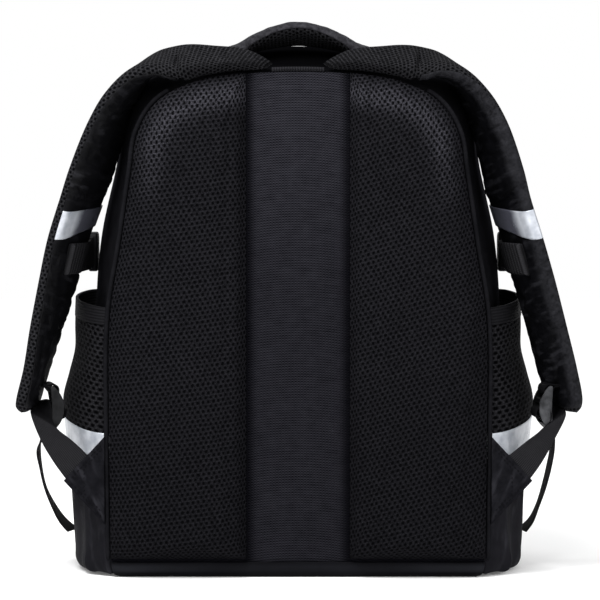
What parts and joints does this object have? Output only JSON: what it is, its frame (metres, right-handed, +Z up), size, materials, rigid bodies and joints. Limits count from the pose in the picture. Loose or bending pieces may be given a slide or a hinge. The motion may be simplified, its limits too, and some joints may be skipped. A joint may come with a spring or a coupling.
{
  "type": "backpack",
  "caption": "School backpack with an arched hollow body, mesh back pads, padded shoulder straps on adjuster buckles, a carry handle and mesh side pockets.",
  "frame": {"origin": "on the flat underside of the base, midway between the sides and 83 mm in front of the back panel", "axes": "+Z up, the carrying side with its straps faces -Y, +X to the right of a viewer who looks at the carrying side"},
  "size_m": [0.4316, 0.1886, 0.423],
  "materials": {
    "back_weave": "plain woven oxford",
    "pad_mesh": "air mesh with nylon backing",
    "pocket_mesh": "open knitted mesh",
    "nylon": "smooth nylon",
    "coated": "coated cloth with a slight shine",
    "webbing": "ribbed webbing",
    "reflective": "silver reflective tape",
    "plastic": "satin moulded plastic"
  },
  "bodies": {
    "root": {"back_pad_left": "pad_mesh", "back_pad_right": "pad_mesh", "back_panel": "back_weave", "base_panel": "coated", "carry_handle": "pad_mesh", "chest_buckle_left": "plastic", "chest_buckle_right": "plastic", "chest_strap_left": "webbing", "chest_strap_right": "webbing", "front_panel": "nylon", "ladder_lock_left": "plastic", "ladder_lock_right": "plastic", "lock_loop_left": "webbing", "lock_loop_right": "webbing", "lower_webbing_left": "webbing", "lower_webbing_right": "webbing", "piping_left": "nylon", "piping_right": "nylon", "pocket_band_left": "webbing", "pocket_band_right": "webbing", "pocket_lower_left": "nylon", "pocket_lower_right": "nylon", "pocket_mesh_left": "pocket_mesh", "pocket_mesh_right": "pocket_mesh", "pocket_tape_left": "reflective", "pocket_tape_right": "reflective", "side_gusset": "nylon", "strap_anchor_left": "nylon", "strap_anchor_right": "nylon", "strap_left": "pad_mesh", "strap_right": "pad_mesh", "strap_tape_left": "reflective", "strap_tape_right": "reflective", "top_binding": "webbing", "zip_slider": "plastic", "zip_tape": "webbing"}
  },
  "joints": []
}
